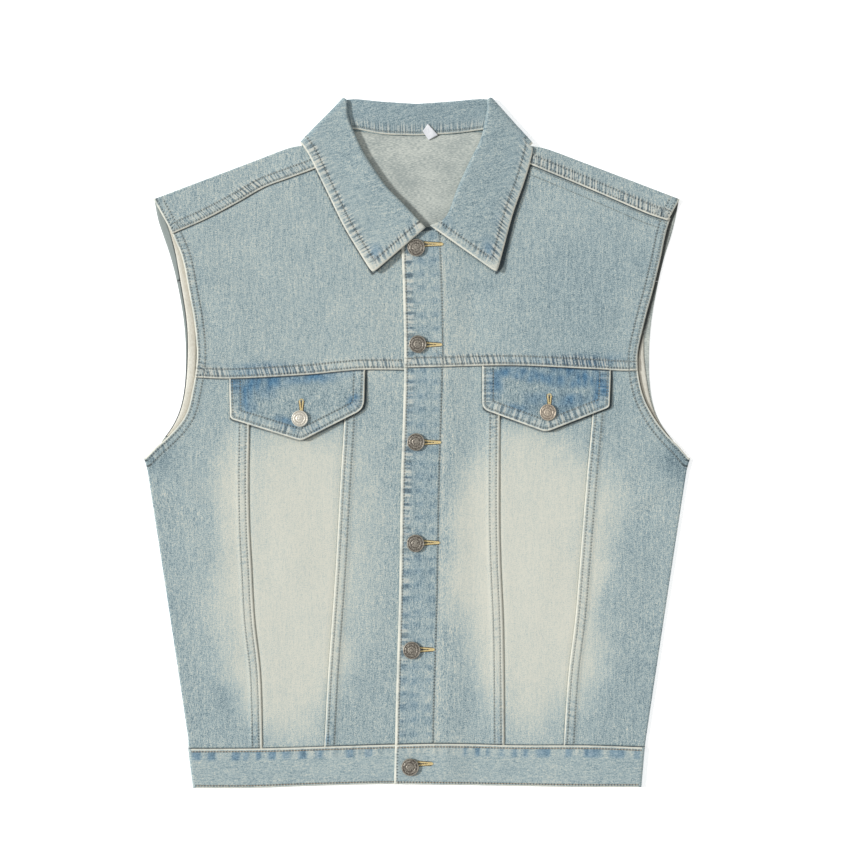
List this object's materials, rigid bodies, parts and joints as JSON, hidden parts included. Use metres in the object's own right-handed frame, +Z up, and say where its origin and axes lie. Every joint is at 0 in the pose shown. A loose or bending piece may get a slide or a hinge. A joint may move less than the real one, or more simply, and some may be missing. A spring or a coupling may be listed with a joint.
{
  "type": "denim vest",
  "caption": "Sleeveless denim vest laid flat on its back and buttoned, with a folded collar, pointed pocket flaps, tapered V-seamed panels and a waistband",
  "frame": {"origin": "on the surface under the middle of the whole vest, which lies on its back", "axes": "+X to the wearer's left, +Y towards the collar, +Z up out of the front"},
  "size_m": [0.5474, 0.6882, 0.0123],
  "materials": {
    "denim_front": "light stone-washed cotton denim, twill weave",
    "denim_bleached": "denim bleached to a warm cream",
    "denim_flap": "denim less washed, deeper blue",
    "denim_back": "light denim, pale wrong side",
    "denim_collar": "two-ply stone-washed denim",
    "facing_cloth": "cream cotton",
    "label_cloth": "white woven tape, blank",
    "antique_metal": "antique silver shank buttons, worn"
  },
  "bodies": {
    "root": {"back_panel": "denim_back", "back_yoke": "denim_back", "front_yoke_left": "denim_front", "front_yoke_right": "denim_front", "front_side_panel_left": "denim_front", "front_side_panel_right": "denim_front", "pocket_panel_left": "denim_bleached", "pocket_panel_right": "denim_bleached", "front_centre_panel_left": "denim_front", "front_centre_panel_right": "denim_front", "pocket_flap_left": "denim_flap", "pocket_flap_right": "denim_flap", "waistband": "denim_front", "collar": "denim_collar", "armhole_facing_left": "facing_cloth", "armhole_facing_right": "facing_cloth", "neck_label": "label_cloth", "front_button_1": "antique_metal", "front_button_2": "antique_metal", "front_button_3": "antique_metal", "front_button_4": "antique_metal", "front_button_5": "antique_metal", "front_button_6": "antique_metal", "flap_button_left": "antique_metal", "flap_button_right": "antique_metal"}
  },
  "joints": []
}
